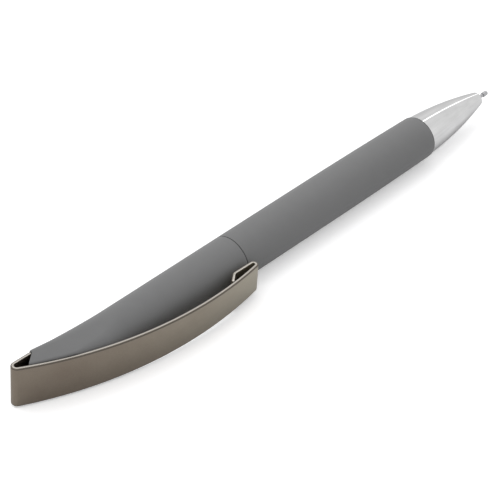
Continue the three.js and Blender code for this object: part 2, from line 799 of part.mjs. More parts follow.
const frontHalf = new THREE.Group();
frontHalf.add(
  named('front_barrel', frontBarrel(), SOFT_TOUCH),
  named('nose_cone', noseCone(), CHROME),
  named('nose_bush', noseBush(), BRASS),
  named('front_coupling', frontCoupling(), BRASS),
  named('friction_ring', frictionRing(), RUBBER),
  named('guide_sleeve', guideSleeve(), STEEL),
  named('retaining_ring', retainingRing(), STEEL),
  named('refill_spring', returnSpring(), STEEL),
);

const rearHalf = new THREE.Group();
rearHalf.add(
  named('rear_barrel', rearBarrel(), SOFT_TOUCH),
  named('rear_bush', rearBush(), BRASS),
  named('cam_rotor', camRotor(), STEEL),
  named('rotor_cap', rotorCap(), BLACK_PLASTIC),
  named('clip_root', clipRoot(), STRAP_METAL),
  named('clip_anchor', clipAnchor(), BLACK_PLASTIC),
);

const clip = new THREE.Group();
clip.add(named('clip_arm', clipArm(), STRAP_METAL));

const refill = new THREE.Group();
const pin = named('slider_pin', sliderPin(), STEEL);
pin.position.x = pinPlace;
const ball = named('ball', new THREE.SphereGeometry(ballRadius, SMALL_FACETS, SMALL_FACETS / 2), CARBIDE);
ball.position.x = ballPlace;
refill.add(
  named('slider', slider(), WHITE_PLASTIC),
  pin,
  named('refill_crown', refillCrown(), WHITE_PLASTIC),
  named('refill_tube', refillTube(), STEEL),
  named('refill_point', refillPoint(), STEEL),
  named('ink', inkColumn(), INK),
  named('ink_follower', inkFollower(), GREASE),
  ball,
);

// Roll about the barrel's axis at which a rounded corner meets the table that the barrel lies on. A
// corner that doesn't stand out far enough, or is on the barrel's far side, never meets it.
function touchRoll(lift, halfWidth, corner) {
  const reach = Math.hypot(lift, halfWidth);
  const drop = barrelRadius - corner;
  if (reach <= drop || lift <= 0) {
    return Infinity;
  }
  return Math.asin(drop / reach) - Math.atan2(halfWidth, lift);
}

// Roll at which the pen comes to rest: the clip's edge or the wedge's corner touches first
function restRoll() {
  const outerLift = (x) => bowCentre.y + Math.sqrt(BOW_RADIUS ** 2 - (x - bowCentre.x) ** 2);
  let roll = Infinity;
  for (let x = wedgeFront - SECTION_STEP; x > wedgeFront - BACK_SQUARE_RUN; x -= SECTION_STEP / 4) {
    const { bow, halfWidth, bowCorner } = wedgeSection(x);
    roll = Math.min(
      roll,
      touchRoll(outerLift(x), clipWidth(x) / 2, 0),
      touchRoll(bow - bowCorner, halfWidth - bowCorner, bowCorner),
    );
  }
  return roll;
}

const pen = new THREE.Group();
pen.add(frontHalf, rearHalf, clip, refill);
pen.rotation.x = restRoll();

const model = new THREE.Group();
model.add(pen);
model.updateMatrixWorld(true);
const box = new THREE.Box3().setFromObject(pen, true);
const middle = box.getCenter(new THREE.Vector3());
pen.position.set(-middle.x, -middle.y, -box.min.z);

export default model;
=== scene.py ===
# %% [markdown]
# A metal twist pen lies on a white table, seen from above the end that its clip starts from. The
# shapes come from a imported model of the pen, which this file loads first. The pieces that show are
# then made again with finer meshes, in the same places, and every piece gets a finish of its own.

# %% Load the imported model
import json
from math import asin, atan2, cos, degrees, hypot, pi, radians, sin, sqrt, tan

import bmesh
import bpy
from mathutils import Matrix, Vector


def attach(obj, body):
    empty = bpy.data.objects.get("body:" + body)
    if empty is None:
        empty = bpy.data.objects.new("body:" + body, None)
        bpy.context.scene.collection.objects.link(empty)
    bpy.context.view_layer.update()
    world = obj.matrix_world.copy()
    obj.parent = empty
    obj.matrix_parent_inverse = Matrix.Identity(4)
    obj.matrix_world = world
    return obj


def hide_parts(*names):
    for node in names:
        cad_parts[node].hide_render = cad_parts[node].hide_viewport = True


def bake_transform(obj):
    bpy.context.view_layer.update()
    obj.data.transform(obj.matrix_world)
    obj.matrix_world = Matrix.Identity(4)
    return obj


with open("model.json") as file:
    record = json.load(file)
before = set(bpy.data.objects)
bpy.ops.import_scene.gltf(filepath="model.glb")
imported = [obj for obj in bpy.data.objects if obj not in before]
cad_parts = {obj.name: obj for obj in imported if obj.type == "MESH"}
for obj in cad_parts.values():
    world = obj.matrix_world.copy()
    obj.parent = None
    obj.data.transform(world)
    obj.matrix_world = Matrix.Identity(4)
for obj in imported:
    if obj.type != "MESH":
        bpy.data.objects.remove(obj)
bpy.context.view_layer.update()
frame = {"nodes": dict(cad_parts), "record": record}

# %% [markdown]
# A pen is easiest to build along its own barrel: x runs to the writing tip from the seam between
# the two halves, y points away from the clip and z runs across the clip. A lift is a height on the
# clip's side, so it is y turned round. Everything is written in millimetres there, and one matrix
# carries it to the table in metres. The model's joints say where the barrel's axis is and how far
# the pen has rolled on to its clip.

# %% The pen's own coordinates
joints = {joint["name"]: joint for joint in frame["record"]["behaviour"]["joints"]}
seam_centre = Vector(joints["twist"]["pos_m"])
across = -Vector(joints["clip_flex"]["axis"])
along = Vector((1, 0, 0))
away = across.cross(along)
MM = 0.001

to_table = Matrix.Identity(4)
for column, direction in enumerate((along, away, across)):
    to_table.col[column][:3] = direction * MM
to_table.col[3][:3] = seam_centre
roll = asin(away.z)
print("seam at", [round(value, 5) for value in seam_centre], "roll", round(degrees(roll), 2))

# %% [markdown]
# Materials are made of nodes. Written as sums and products they stay readable, so a Signal stands
# for one output socket and its operators add Math nodes. Every other node comes from one method,
# which sets a node's options first and then fills or links its sockets. All surfaces are the
# Principled shader with different sockets filled.

# %% Node writing
class Signal:
    def __init__(self, finish, socket):
        self.finish = finish
        self.socket = socket

    def math(self, operation, first, second):
        return self.finish.node("ShaderNodeMath", {"operation": operation}, {0: first, 1: second})

    def __add__(self, other):
        return self.math("ADD", self, other)

    def __sub__(self, other):
        return self.math("SUBTRACT", self, other)

    def __rsub__(self, other):
        return self.math("SUBTRACT", other, self)

    def __mul__(self, other):
        return self.math("MULTIPLY", self, other)

    def at_most(self, limit):
        return self.math("MINIMUM", self, limit)

    __radd__ = __add__
    __rmul__ = __mul__


class Finish:
    def __init__(self, owner):
        owner.use_nodes = True
        self.owner = owner
        self.tree = owner.node_tree
        self.tree.nodes.clear()

    def node(self, kind, options, sockets, output=0):
        made = self.tree.nodes.new(kind)
        for name, value in options.items():
            setattr(made, name, value)
        for name, value in sockets.items():
            if isinstance(value, Signal):
                self.tree.links.new(value.socket, made.inputs[name])
            elif made.inputs[name].type == "RGBA":
                made.inputs[name].default_value = (*value, 1)
            else:
                made.inputs[name].default_value = value
        return Signal(self, made.outputs[output])

    def output(self, shader, kind="ShaderNodeOutputMaterial"):
        made = self.tree.nodes.new(kind)
        self.tree.links.new(shader.socket, made.inputs["Surface"])
        return self.owner

    def surface(self, sockets):
        return self.output(self.node("ShaderNodeBsdfPrincipled", {}, sockets))


def new_finish(name):
    return Finish(bpy.data.materials.new(name))


# %% [markdown]
# A pattern such as grain or brushing needs a scale in real millimetres and a direction along the
# barrel. The Object coordinates of every piece are the table's metres, so a Mapping node turns them
# into the pen's own millimetres, and stretches them where a pattern runs lengthwise. Where a colour
# changes slowly along the pen, the x of that place serves as a mask, which is 0 at the rear end and
# 1 at the seam. It carries painted shade on the barrel and painted light on the clip.

# %% Patterns in the pen's millimetres
REAR_REACH = 58.0


def pen_place(finish, stretch=(1, 1, 1)):
    sockets = {
        "Vector": finish.node("ShaderNodeTexCoord", {}, {}, output="Object"),
        "Location": seam_centre,
        "Rotation": (roll, 0, 0),
        "Scale": tuple(MM * value for value in stretch),
    }
    return finish.node("ShaderNodeMapping", {"vector_type": "TEXTURE"}, sockets)


def share_forward(finish):
    return 1 + (1 / REAR_REACH) * finish.node("ShaderNodeSeparateXYZ", {}, {0: pen_place(finish)})


def noise(finish, scale, stretch=(1, 1, 1), detail=2, roughness=0.5):
    place = pen_place(finish, stretch)
    sockets = {"Vector": place, "Scale": scale, "Detail": detail, "Roughness": roughness}
    return finish.node("ShaderNodeTexNoise", {}, sockets, output="Fac")


def tint(finish, mask, low, high):
    sockets = {0: mask, 6: low, 7: high}
    return finish.node("ShaderNodeMix", {"data_type": "RGBA"}, sockets, output=2)


def bump(finish, height, strength, depth_mm):
    sockets = {"Height": height, "Strength": strength, "Distance": depth_mm * MM}
    return finish.node("ShaderNodeBump", {}, sockets)


# %% [markdown]
# The barrel wears a soft-touch lacquer, a matt paint with a faintly rubbery skin. Its colour hardly
# varies: it is a shade darker towards the rear, which is painted shade. So the interest lies in the
# surface: a grain far finer than the eye resolves, which spreads the highlight, and a slow
# unevenness in how matt it is. A little sheen lightens it where it turns away from the eye.

# %% Soft-touch lacquer
LACQUER_GREY = (0.174, 0.175, 0.176)
# The deeper grey is reached both by the cloud's random tone and by the painted shade towards the
# rear.
LACQUER_DEEP_AND_SHADED = (0.131, 0.132, 0.133)


def soft_touch():
    finish = new_finish("soft_touch_lacquer")
    cloud = noise(finish, scale=0.35, detail=3)
    grain = noise(finish, scale=14, detail=4, roughness=0.7)
    # Painted shade: the lacquer darkens towards the rear, mixed with a slow cloud of real
    # unevenness.
    cloud_and_painted_rear_shade = 0.4 * cloud + 0.55 * share_forward(finish).at_most(1.0)
    return finish.surface({
        "Base Color": tint(finish, cloud_and_painted_rear_shade, LACQUER_DEEP_AND_SHADED, LACQUER_GREY),
        "Roughness": 0.56 + 0.08 * cloud + 0.05 * grain,
        "Normal": bump(finish, grain, strength=0.25, depth_mm=0.012),
        "Sheen Weight": 0.12,
        "Sheen Roughness": 0.45,
        "Specular IOR Level": 0.35,
    })


lacquer = soft_touch()
print("made", lacquer.name)

# %% [markdown]
# The clip is a metal strap with a satin plating the colour of dark champagne. Satin metal is
# brushed along its length, so its highlight is drawn out across the strap. Noise stretched along
# the barrel gives those brush lines, to the roughness and to a very shallow bump. The colour also
# grows lighter along the barrel, slowly at first and faster towards the lip, which is painted
# light. The cut edges are polished and catch the light as a thin bright line, so they get a
# finish of their own. So does the rounding between the two, whose darker colour is painted
# shade.

# %% Satin strap and its polished edges
# The two champagne colours span painted light: lighter towards the lip and darker at the rear.
CHAMPAGNE_PAINTED_LIGHT = (0.408, 0.380, 0.312)
CHAMPAGNE_PAINTED_SHADE = (0.160, 0.127, 0.101)
# The rounding's colours are painted shade: a darker copy of the strap's metal.
PAINTED_SHADE_SHOULDER = (0.138, 0.120, 0.101)
PAINTED_SHADE_SHOULDER_DEEP = (0.100, 0.087, 0.073)
EDGE_LIGHT = (0.50, 0.47, 0.43)
EDGE_DEEP = (0.44, 0.41, 0.37)


def satin_strap(name, light, deep):
    finish = new_finish(name)
    brushing = noise(finish, scale=7, stretch=(40, 1, 1), detail=4, roughness=0.65)
    cloud = noise(finish, scale=0.16)
    # Painted light: the strap's colour grows lighter towards the lip, with the brush lines mixed in.
    painted_light_towards_lip = share_forward(finish)
    brushing_and_painted_light = 0.25 * brushing + 0.2 * cloud + 0.65 * painted_light_towards_lip * painted_light_towards_lip - 0.05
    return finish.surface({
        "Base Color": tint(finish, brushing_and_painted_light, deep, light),
        "Metallic": 1.0,
        "Roughness": 0.33 + 0.09 * brushing + 0.04 * cloud,
        "Normal": bump(finish, brushing, strength=0.12, depth_mm=0.01),
    })


def bright_edge():
    finish = new_finish("polished_strap_edge")
    lines = noise(finish, scale=9, stretch=(12, 1, 1), detail=3)
    return finish.surface({
        "Base Color": tint(finish, lines, EDGE_DEEP, EDGE_LIGHT),
        "Metallic": 1.0,
        "Roughness": 0.2 + 0.08 * lines,
        "Normal": bump(finish, lines, strength=0.08, depth_mm=0.008),
    })


strap_metal = satin_strap("satin_champagne_metal", CHAMPAGNE_PAINTED_LIGHT, CHAMPAGNE_PAINTED_SHADE)
painted_shade_shoulder_metal = satin_strap("strap_shoulder_painted_shade", PAINTED_SHADE_SHOULDER, PAINTED_SHADE_SHOULDER_DEEP)
edge_metal = bright_edge()
print("made", strap_metal.name, "and", painted_shade_shoulder_metal.name, "and", edge_metal.name)

# %% [markdown]
# The nose is chrome-plated and polished in a lathe. It is nearly a mirror. What keeps it from
# looking like a computer's sphere is a trace of roughness that comes and goes, polishing rings so
# shallow that they only soften the reflections round the cone, and faint streaks along it in the
# colour, which are painted reflections.

# %% Polished chrome
# The two chrome colours span painted reflections along the nose, with a little random haze.
CHROME_STREAK_LIGHT = (0.77, 0.77, 0.77)
CHROME_STREAK_DARK = (0.50, 0.50, 0.50)
CHROME_RIM = (0.70, 0.70, 0.70)


def chrome():
    finish = new_finish("polished_chrome")
    rings = noise(finish, scale=6, stretch=(1, 30, 30), detail=3)
    # Painted reflection: lengthwise streaks in the colour stand for the surroundings mirrored in the
    # chrome.
    painted_reflection_streaks = noise(finish, scale=1.1, stretch=(18, 1, 1), detail=4)
    haze = noise(finish, scale=0.25, detail=3)
    return finish.surface({
        "Base Color": tint(finish, 0.3 * haze + 0.7 * painted_reflection_streaks, CHROME_STREAK_DARK, CHROME_STREAK_LIGHT),
        "Metallic": 1.0,
        "Roughness": 0.06 + 0.07 * haze + 0.02 * rings,
        "Specular Tint": CHROME_RIM,
        "Normal": bump(finish, rings, strength=0.05, depth_mm=0.004),
    })


nose_chrome = chrome()
print("made", nose_chrome.name)

# %% [markdown]
# Inside are turned brass and drawn steel, moulded plastic, a rubber ring, ink and grease. Turning
# leaves rings round a part and drawing leaves lines along it, which is the same noise stretched the
# other way. Moulded plastic has a fine even grain. One function covers them all, and a table holds
# its numbers in the order of the function's.

# %% Finishes of the inner parts
RINGS = (1, 25, 25)
LINES = (25, 1, 1)
EVEN = (1, 1, 1)


def plain_finish(name, deep, light, metallic, roughness, stretch, scale, depth_mm, coat=0.0):
    finish = new_finish(name)
    texture = noise(finish, scale, stretch, detail=4, roughness=0.6)
    slow = noise(finish, scale=0.3)
    return finish.surface({
        "Base Color": tint(finish, 0.6 * texture + 0.4 * slow, deep, light),
        "Metallic": metallic,
        "Roughness": roughness + 0.12 * texture,
        "Normal": bump(finish, texture, strength=0.3, depth_mm=depth_mm),
        "Coat Weight": coat,
    })


INNER = {
    "brass": ((0.40, 0.27, 0.09), (0.56, 0.39, 0.15), 1.0, 0.24, RINGS, 5, 0.01),
    "steel": ((0.42, 0.42, 0.43), (0.58, 0.58, 0.59), 1.0, 0.22, LINES, 6, 0.006),
    "turned_steel": ((0.36, 0.36, 0.37), (0.50, 0.50, 0.51), 1.0, 0.20, RINGS, 9, 0.003),
    "spring_steel": ((0.34, 0.34, 0.35), (0.50, 0.50, 0.51), 1.0, 0.26, EVEN, 8, 0.004),
    "black_plastic": ((0.006, 0.006, 0.006), (0.012, 0.012, 0.013), 0.0, 0.46, EVEN, 9, 0.01),
    "white_plastic": ((0.66, 0.66, 0.62), (0.74, 0.74, 0.71), 0.0, 0.34, EVEN, 5, 0.006),
    "rubber": ((0.009, 0.009, 0.009), (0.018, 0.018, 0.018), 0.0, 0.72, EVEN, 12, 0.015),
    "ink": ((0.006, 0.014, 0.060), (0.014, 0.028, 0.100), 0.0, 0.12, EVEN, 0.8, 0.01, 0.5),
    "grease": ((0.52, 0.54, 0.38), (0.62, 0.64, 0.48), 0.0, 0.22, EVEN, 1.2, 0.01, 0.4),
    "carbide": ((0.07, 0.07, 0.08), (0.11, 0.11, 0.12), 1.0, 0.10, EVEN, 12, 0.001),
}
inner = {name: plain_finish(name, *numbers) for name, numbers in INNER.items()}
print("made", len(inner), "finishes for the inner parts")

# %% [markdown]
# Every new piece goes the same way from its bmesh to the table: the pen's matrix, a mesh, smooth
# shading with creases left sharp and its finishes.

# %% From a bmesh to a piece
CREASE = 30


def new_object(name, bm):
    mesh = bpy.data.meshes.new(name)
    bm.to_mesh(mesh)
    bm.free()
    made = bpy.data.objects.new(name, mesh)
    bpy.context.scene.collection.objects.link(made)
    return made


def piece(name, bm, slot, *finishes, crease=CREASE):
    bmesh.ops.transform(bm, matrix=to_table, verts=bm.verts)
    made = new_object(name, bm)
    made.data.shade_smooth()
    made.data.set_sharp_from_angle(angle=radians(crease))
    for finish in finishes:
        made.data.materials.append(finish)
    print(name, len(made.data.polygons), "faces")
    return made


# %% [markdown]
# Much of a pen is turned, so one helper spins a closed outline of (x, radius) corners round the
# axis. A sharp corner never looks real, because a real one is broken by a tool or by lacquer and
# catches a line of light. So a second helper finds the turned edge at such a corner again and
# rounds it.

# %% Turning and rounding
MERGE = 0.0005
ON_PLANE = 0.0001
AT_CORNER = 0.001


def turned(profile, steps):
    bm = bmesh.new()
    corners = [bm.verts.new((x, 0, radius)) for x, radius in profile]
    for pair in zip(corners, corners[1:] + corners[:1]):
        bm.edges.new(pair)
    bmesh.ops.spin(
        bm, geom=bm.verts[:] + bm.edges[:], axis=(1, 0, 0), cent=(0, 0, 0), angle=2 * pi,
        steps=steps, use_merge=True,
    )
    bmesh.ops.remove_doubles(bm, verts=bm.verts, dist=MERGE)
    bmesh.ops.recalc_face_normals(bm, faces=bm.faces)
    return bm


def round_edges(bm, edges, width, segments=3, material=-1, clamp_overlap=True):
    bmesh.ops.bevel(
        bm, geom=edges, offset=width, offset_type="OFFSET", affect="EDGES", segments=segments,
        profile=0.5, material=material, clamp_overlap=clamp_overlap,
    )


def ease(bm, corners, width, segments=3):
    def turned_at(edge, x, radius):
        return all(
            abs(vert.co.x - x) < AT_CORNER and abs(hypot(vert.co.y, vert.co.z) - radius) < AT_CORNER
            for vert in edge.verts
        )

    edges = [edge for edge in bm.edges if any(turned_at(edge, *corner) for corner in corners)]
    round_edges(bm, edges, width, segments, clamp_overlap=False)


# %% [markdown]
# The front half of the barrel is a thin tube, straight from the seam and then tapering a little
# towards the nose. It could be a cylinder scaled at one end, but the taper starts softly, so a
# profile is drawn and spun round the axis like work in a lathe. Its edges are eased, as lacquered
# edges are: hardly at the seam, where the halves have to look like one bar, and more at the nose.

# %% Front barrel
BARREL = 5.25
BORE = 4.4
SEAM = 0.1
EDGE = 0.07
RIM_EDGE = 0.2
FRONT_END = 61.5
TAPER = 36.5
FRONT_RIM = 4.95
TAPER_STEPS = 18

taper = []
for step in range(TAPER_STEPS + 1):
    share = 1 - step / TAPER_STEPS
    taper.append((FRONT_END - TAPER * (1 - share), BARREL - (BARREL - FRONT_RIM) * share**2))
bm = turned([(SEAM, BORE), (FRONT_END, BORE), *taper, (SEAM, BARREL)], steps=128)
ease(bm, [(SEAM, BARREL)], EDGE)
ease(bm, [(FRONT_END, FRONT_RIM)], RIM_EDGE)
front_barrel = piece("front_barrel_tube", bm, "soft_touch", lacquer)
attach(front_barrel, "front")
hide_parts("front_barrel")

# %% [markdown]
# Under the clip the barrel stops being round: its back is drawn in, its sides are flattened and its
# corners tighten until the end is a wedge. On the clip's side it follows the inner face of the bow,
# with a little clearance. Just before its end the back swells a little again, and its last edge is
# cut off in a chamfer.

# %% Clip's bow, which the wedge runs along
BOW_RADIUS = 89.3
BOW_CENTRE = Vector((-15.75, 9.45 - BOW_RADIUS))
STRAP = 0.65
BOW_INSIDE = BOW_RADIUS - STRAP
CLEARANCE = 0.25


def bow_lift(x):
    return BOW_CENTRE.y + sqrt(BOW_INSIDE**2 - (x - BOW_CENTRE.x) ** 2)


print("the bow's inner face stands", round(bow_lift(BOW_CENTRE.x), 2), "mm above the axis")

# %% Wedge's sizes
LEG_LIFT = -4.03
REAR_FOLD = 1.3
reach = BOW_RADIUS - REAR_FOLD
rear_fold_lift = LEG_LIFT + REAR_FOLD
rear_fold_x = BOW_CENTRE.x - sqrt(reach**2 - (rear_fold_lift - BOW_CENTRE.y) ** 2)
WEDGE_REAR = rear_fold_x + 0.53
WEDGE_LENGTH = 23.0
WEDGE_FRONT = WEDGE_REAR + WEDGE_LENGTH
WEDGE_BACK = 4.45
WEDGE_HALF_WIDTH, HALF_WIDTH_RUN = 5.1, 8.0
BACK_CORNER, BACK_CORNER_RUN, BACK_CORNER_EASE = 1.25, 20.0, 1.15
CLIP_CORNER, CLIP_CORNER_RUN = 0.5, 12.8
END_TILT = radians(53)
SQUARE_DEPTH = 3.12
SQUARE_END = WEDGE_REAR + SQUARE_DEPTH * tan(END_TILT)
END_RISE, END_RISE_RUN = 0.28, 5.5
print("the wedge runs from", round(WEDGE_FRONT, 2), "to", round(WEDGE_REAR, 2))

# %% [markdown]
# Each cross-section of the wedge is a rectangle with four rounded corners, and a round bar is one
# whose corners are as large as itself. So a plain cylinder is made first, and each of its points is
# then moved to the same place on the section at its x. Every measure starts at the barrel's radius
# and reaches its own value after its own run.

# %% Sections of the wedge
def limited(share):
    return min(max(share, 0), 1)


def drawn(x, run, end, ease_in=1.0):
    return BARREL + (end - BARREL) * limited((WEDGE_FRONT - x) / run) ** ease_in


def back_at(x):
    rise = limited((SQUARE_END + END_RISE_RUN - x) / END_RISE_RUN)
    return drawn(x, WEDGE_LENGTH, WEDGE_BACK) + END_RISE * rise


def on_section(x, angle):
    """Where a cylinder's point goes on the barrel's skin; angle runs from the back (+y) to +z."""
    bow = min(BARREL, bow_lift(x) - CLEARANCE)
    half = drawn(x, HALF_WIDTH_RUN, WEDGE_HALF_WIDTH)
    if cos(angle) > 0:
        corner = drawn(x, BACK_CORNER_RUN, BACK_CORNER, BACK_CORNER_EASE)
        middle_y = back_at(x) - corner
    else:
        corner = drawn(x, CLIP_CORNER_RUN, CLIP_CORNER)
        middle_y = corner - bow
    middle_z = (half - corner) * (1 if sin(angle) > 0 else -1)
    return Vector((x, middle_y + corner * cos(angle), middle_z + corner * sin(angle)))


# %% Rear barrel's skin
SIDES = 96
SKIN_STEP = 1.0
LAST_RING = WEDGE_REAR - 1
quarter = Matrix.Rotation(pi / 2, 4, "Y")
offset = Matrix.Rotation(pi / SIDES, 4, "X")

bm = bmesh.new()
bmesh.ops.create_circle(
    bm, cap_ends=False, radius=BARREL, segments=SIDES, matrix=offset @ quarter
)
bmesh.ops.translate(bm, vec=(-SEAM, 0, 0), verts=bm.verts)
run = -SEAM - LAST_RING
steps = round(run / SKIN_STEP)
bmesh.ops.spin(
    bm, geom=bm.verts[:] + bm.edges[:], axis=(1, 0, 0), cent=(0, 0, 0), dvec=(-run / steps, 0, 0),
    angle=0, steps=steps,
)
print("skin of", len(bm.faces), "faces, square end at", round(SQUARE_END, 2))

# %% [markdown]
# The rear end slants forwards from the clip's bow to the clip's leg and stands square from there to
# the back. Cut through a skin of straight rings it would leave slivers, so the last rings lean over
# bit by bit until the hindmost one lies on the end itself. A point's x there hangs on its y and the
# other way round, hence a few rounds of both.

# %% Leaning the last rings over
LEAN_START = WEDGE_REAR + 9
LEAN_ROUNDS = 6


def rear_end(y):
    return WEDGE_REAR + min(y, SQUARE_DEPTH) * tan(END_TILT)


for vert in bm.verts:
    angle = atan2(vert.co.z, vert.co.y)
    place = on_section(vert.co.x, angle)
    lean = (LEAN_START - vert.co.x) / (LEAN_START - LAST_RING)
    if lean > 0:
        for attempt in range(LEAN_ROUNDS):
            place = on_section(LEAN_START + (rear_end(place.y) - LEAN_START) * lean, angle)
    vert.co = place
print("rear end from", round(min(vert.co.x for vert in bm.verts), 2), "mm")

# %% [markdown]
# The open end is closed with two flat faces, which meet in an edge where the slant turns square.
# The back's last edge is cut off with one plane, which gives a long shallow chamfer. Then the front
# is closed as well, so that the skin is a solid, and the edges round both ends are eased.

# %% Closed rear end with its chamfer
CHAMFER = 0.74
CHAMFER_TURN = radians(104.5)


def open_edges(bm, rear):
    return [
        edge for edge in bm.edges if edge.is_boundary and (edge.verts[0].co.x < -BARREL) == rear
    ]


end_ring = open_edges(bm, rear=True)
ring_verts = {vert for edge in end_ring for vert in edge.verts}
ledge_ends = [
    min(
        (vert for vert in ring_verts if vert.co.z * side > 0),
        key=lambda vert: abs(vert.co.y - SQUARE_DEPTH),
    )
    for side in (-1, 1)
]
ledge = bm.edges.new(ledge_ends)
for square in (True, False):
    part = [
        edge for edge in end_ring
        if (edge.verts[0].co.y + edge.verts[1].co.y > 2 * SQUARE_DEPTH) == square
    ]
    bmesh.ops.edgeloop_fill(bm, edges=[*part, ledge])
bmesh.ops.bisect_plane(
    bm, geom=bm.verts[:] + bm.edges[:] + bm.faces[:], dist=ON_PLANE,
    plane_co=(SQUARE_END, back_at(SQUARE_END) - CHAMFER, 0),
    plane_no=(cos(CHAMFER_TURN), sin(CHAMFER_TURN), 0), clear_outer=True,
)
bmesh.ops.edgeloop_fill(bm, edges=open_edges(bm, rear=True))
front_rim = open_edges(bm, rear=False)
bmesh.ops.edgeloop_fill(bm, edges=front_rim)
bmesh.ops.recalc_face_normals(bm, faces=bm.faces)
print("closed skin of", len(bm.faces), "faces")

# %% Eased ends of the rear barrel
END_EASE = 0.12
BLUNT = radians(12)

end_faces = [
    face for face in bm.faces if len(face.verts) > 4 and face.calc_center_median().x < -BARREL
]
end_edges = {
    edge for face in end_faces for edge in face.edges if edge.calc_face_angle(0) > BLUNT
}
print("end faces:", len(end_faces), "edges to ease:", len(end_edges))
round_edges(bm, list(end_edges), END_EASE)
round_edges(bm, front_rim, EDGE)
rear_barrel = piece("rear_barrel_shell", bm, "soft_touch", lacquer)

# %% [markdown]
# The shell is hollow: a bore from the seam for the twist mechanism and a pocket from the rear end
# for the clip's tongue. Both are cut with a Boolean modifier, the quickest way to take one closed
# solid from another, and the modifier is then made part of the mesh.

# %% Cutting one piece with another
def cut_with(made, bm):
    bmesh.ops.recalc_face_normals(bm, faces=bm.faces)
    bmesh.ops.transform(bm, matrix=to_table, verts=bm.verts)
    cutter = new_object("cutter", bm)
    boolean = made.modifiers.new("cut", "BOOLEAN")
    boolean.operation = "DIFFERENCE"
    boolean.solver = "EXACT"
    boolean.object = cutter
    bpy.context.view_layer.update()
    evaluated = made.evaluated_get(bpy.context.evaluated_depsgraph_get())
    baked = bpy.data.meshes.new_from_object(evaluated)
    made.modifiers.clear()
    spent = (made.data, cutter.data)
    made.data = baked
    baked.name = made.name
    bpy.data.objects.remove(cutter)
    for mesh in spent:
        bpy.data.meshes.remove(mesh)
    baked.set_sharp_from_angle(angle=radians(CREASE))
    print(made.name, "after the cut:", len(baked.polygons), "faces")


def extruded(bm, faces, keep=True):
    """Extrudes faces in place and gives the new vertices, for the caller to move."""
    geom = bmesh.ops.extrude_face_region(bm, geom=faces, use_keep_orig=keep)["geom"]
    return [part for part in geom if isinstance(part, bmesh.types.BMVert)]


# %% Bore and pocket of the rear barrel
BORE_DEPTH = 38.0
POCKET_FRONT = WEDGE_REAR + 11
POCKET_REAR = WEDGE_REAR - 1
POCKET_HALF_WIDTH = 4.0
POCKET_WALL = 0.8
POCKET_SLACK = 0.05

bm = bmesh.new()
bmesh.ops.create_cone(
    bm, cap_ends=True, radius1=BORE, radius2=BORE, depth=BORE_DEPTH + 1, segments=SIDES,
    matrix=Matrix.Translation(((1 - BORE_DEPTH) / 2, 0, 0)) @ quarter,
)
pocket = bmesh.ops.create_grid(bm, x_segments=12, y_segments=1, size=0.5)["verts"]
for vert in pocket:
    x = POCKET_REAR + (POCKET_FRONT - POCKET_REAR) * (vert.co.x + 0.5)
    lift = min(BARREL, bow_lift(x) - CLEARANCE) - POCKET_WALL
    y = -lift if vert.co.y < 0 else -LEG_LIFT + POCKET_SLACK
    vert.co = (x, y, -POCKET_HALF_WIDTH)
sheet = list({face for vert in pocket for face in vert.link_faces})
bmesh.ops.translate(bm, vec=(0, 0, 2 * POCKET_HALF_WIDTH), verts=extruded(bm, sheet))
cut_with(rear_barrel, bm)
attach(rear_barrel, "rear")
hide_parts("rear_barrel")

# %% [markdown]
# The clip is one strip of metal, two thirds of a millimetre thick. It starts as a tongue in the
# barrel, leaves it at the back, folds round, runs forward in one long bow, folds under itself and
# ends in a lip that turns back out to the bow. Drawn from the side that is a row of arcs, each
# given by its middle line: its centre, radius, first and last angle and number of steps. Two chains
# of points, one half a thickness outside and one inside, are bridged to a ribbon and pushed out to
# the strap's width.

# %% Side view of the strap
FRONT_FOLD = 1.04
RETURN = 4.8
RETURN_GAP = 0.85
LIP_BEND = 1.05
LIP_TURN = 37.0
LIP_GAP = 0.15
HALF = STRAP / 2
front_lift = BARREL + RETURN_GAP + FRONT_FOLD
front_reach = BOW_RADIUS - FRONT_FOLD
front_x = BOW_CENTRE.x + sqrt(front_reach**2 - (front_lift - BOW_CENTRE.y) ** 2)


def bow_angle(x, lift):
    return degrees(atan2(lift - BOW_CENTRE.y, x - BOW_CENTRE.x))


def arc(centre, radius, start, end, steps):
    turns = [radians(start + (end - start) * step / steps) for step in range(steps + 1)]
    return [Vector((centre[0] + radius * cos(t), centre[1] + radius * sin(t))) for t in turns]


rear_turn = bow_angle(rear_fold_x, rear_fold_lift)
front_turn = bow_angle(front_x, front_lift)
lip_centre = (front_x - RETURN, BARREL + RETURN_GAP + HALF + LIP_BEND)
arcs = [
    ((rear_fold_x, rear_fold_lift), REAR_FOLD - HALF, 270, rear_turn, 18),
    (tuple(BOW_CENTRE), BOW_RADIUS - HALF, rear_turn, front_turn, 72),
    ((front_x, front_lift), FRONT_FOLD - HALF, front_turn, -90, 14),
    (lip_centre, LIP_BEND, -90, -90 - LIP_TURN, 7),
]
print("arcs in the strap's side view:", len(arcs))

# %% Length of the lip, which stops short of the bow
heading = Vector((-cos(radians(LIP_TURN)), sin(radians(LIP_TURN))))
lip_start = arc(lip_centre, LIP_BEND, -90, -90 - LIP_TURN, 1)[-1] - BOW_CENTRE
lip_reach = BOW_RADIUS - STRAP - LIP_GAP - HALF * cos(radians(LIP_TURN))
inwards = lip_start.dot(heading)
lip_run = sqrt(inwards**2 + lip_reach**2 - lip_start.length_squared) - inwards
print("strap from", round(rear_fold_x, 2), "to", round(front_x, 2), "lip", round(lip_run, 2))

# %% Ribbon of the strap's side
LEG_SLACK = 0.1
LEG_SHOULDER = SQUARE_END - LEG_SLACK
STRAP_FRONT_WIDTH = 6.8
STRAP_REAR_WIDTH = 9.9


